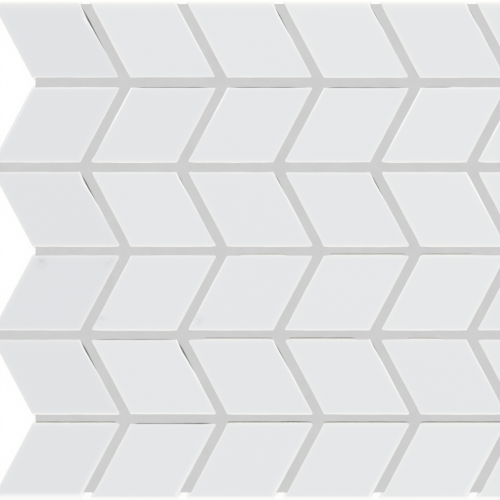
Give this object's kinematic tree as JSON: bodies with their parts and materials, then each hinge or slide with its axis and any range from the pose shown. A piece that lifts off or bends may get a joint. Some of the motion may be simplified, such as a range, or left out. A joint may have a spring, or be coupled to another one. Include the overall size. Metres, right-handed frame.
{
  "type": "chevron wall tile",
  "caption": "Sheet of white glazed parallelogram wall tiles set in chevron rows, joined by a grey grout grid, with zigzag ends that interlock with the next sheet.",
  "frame": {"origin": "middle of the sheet's box on its back, in the plane of the tiles' backs", "axes": "+X along the rows, the way the chevrons point; +Y up the sheet, square to the rows; +Z out of the glazed faces"},
  "size_m": [0.3102, 0.253, 0.006],
  "materials": {
    "glazed_porcelain": "white gloss glaze",
    "cement_grout": "fine matt light grey cement"
  },
  "bodies": {
    "root": {"tile_row1_column1": "glazed_porcelain", "tile_row1_column2": "glazed_porcelain", "tile_row1_column3": "glazed_porcelain", "tile_row1_column4": "glazed_porcelain", "tile_row1_column5": "glazed_porcelain", "tile_row1_column6": "glazed_porcelain", "tile_row2_column1": "glazed_porcelain", "tile_row2_column2": "glazed_porcelain", "tile_row2_column3": "glazed_porcelain", "tile_row2_column4": "glazed_porcelain", "tile_row2_column5": "glazed_porcelain", "tile_row2_column6": "glazed_porcelain", "tile_row3_column1": "glazed_porcelain", "tile_row3_column2": "glazed_porcelain", "tile_row3_column3": "glazed_porcelain", "tile_row3_column4": "glazed_porcelain", "tile_row3_column5": "glazed_porcelain", "tile_row3_column6": "glazed_porcelain", "tile_row4_column1": "glazed_porcelain", "tile_row4_column2": "glazed_porcelain", "tile_row4_column3": "glazed_porcelain", "tile_row4_column4": "glazed_porcelain", "tile_row4_column5": "glazed_porcelain", "tile_row4_column6": "glazed_porcelain", "tile_row5_column1": "glazed_porcelain", "tile_row5_column2": "glazed_porcelain", "tile_row5_column3": "glazed_porcelain", "tile_row5_column4": "glazed_porcelain", "tile_row5_column5": "glazed_porcelain", "tile_row5_column6": "glazed_porcelain", "tile_row6_column1": "glazed_porcelain", "tile_row6_column2": "glazed_porcelain", "tile_row6_column3": "glazed_porcelain", "tile_row6_column4": "glazed_porcelain", "tile_row6_column5": "glazed_porcelain", "tile_row6_column6": "glazed_porcelain", "joint_grout": "cement_grout"}
  },
  "joints": []
}
